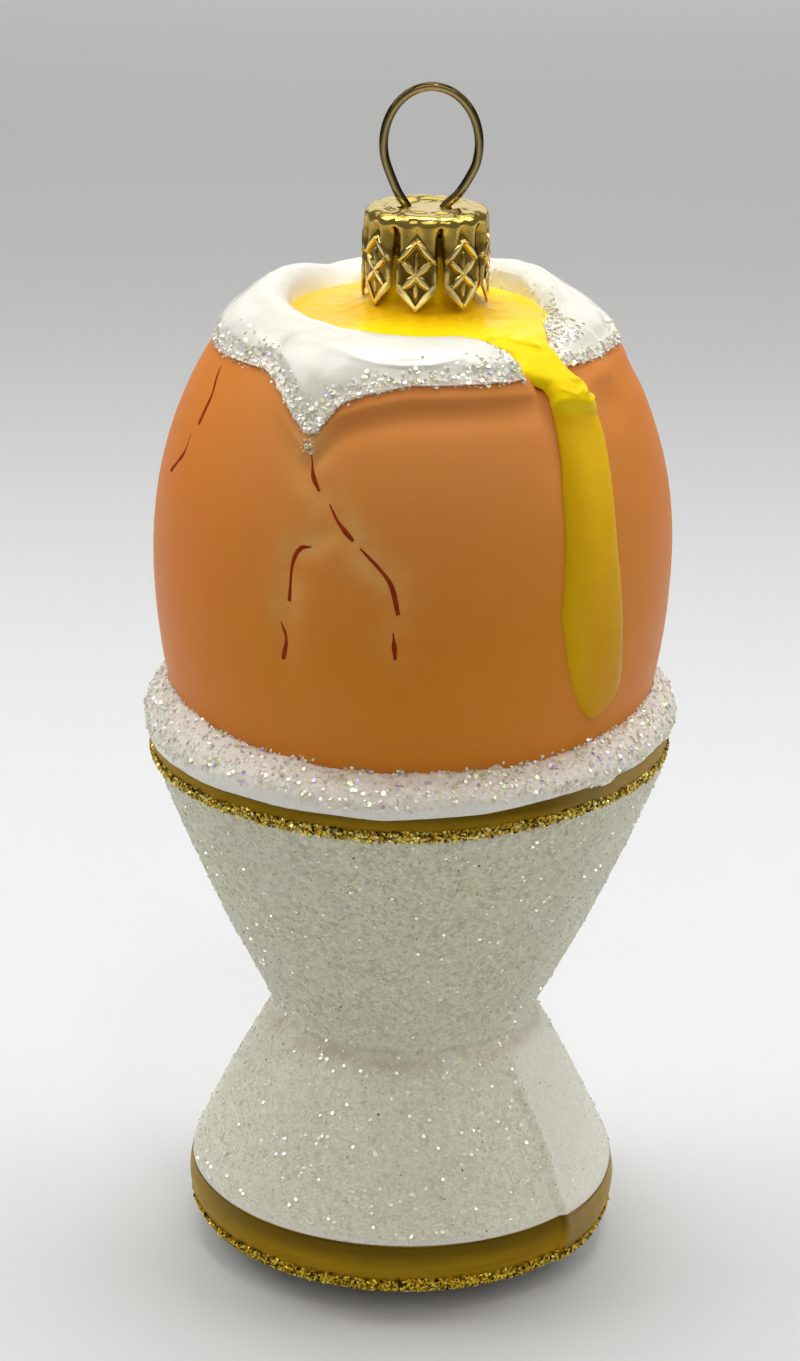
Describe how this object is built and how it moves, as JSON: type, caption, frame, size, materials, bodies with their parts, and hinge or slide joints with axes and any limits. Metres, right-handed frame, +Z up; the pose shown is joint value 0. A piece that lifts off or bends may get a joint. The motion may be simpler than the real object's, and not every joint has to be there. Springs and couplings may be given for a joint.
{
  "type": "boiled egg in egg cup ornament",
  "caption": "Blown-glass hanging ornament shaped as a soft-boiled egg in a footed egg cup, with cracked top, running yolk, gold bands, a pressed metal cap and a wire hanging eye.",
  "frame": {"origin": "middle of the small flat under the foot, on the surface that the cup stands on", "axes": "+Z up along the axis of the cup and the egg, -Y towards the front, +X to the right as seen from the front, where the yolk runs down"},
  "size_m": [0.0521, 0.0521, 0.118],
  "materials": {
    "cup_frost": "matte",
    "shell_lacquer": "satin",
    "white_enamel": "gloss",
    "yolk_enamel": "gloss",
    "bead_paste": "matte",
    "cap_gilt": "polished",
    "wire_brass": "satin"
  },
  "bodies": {
    "root": {"egg_cup": "cup_frost", "egg_shell": "shell_lacquer", "egg_white": "white_enamel", "yolk": "yolk_enamel", "rim_bead": "bead_paste", "cap": "cap_gilt", "wire_eye": "wire_brass"}
  },
  "joints": []
}
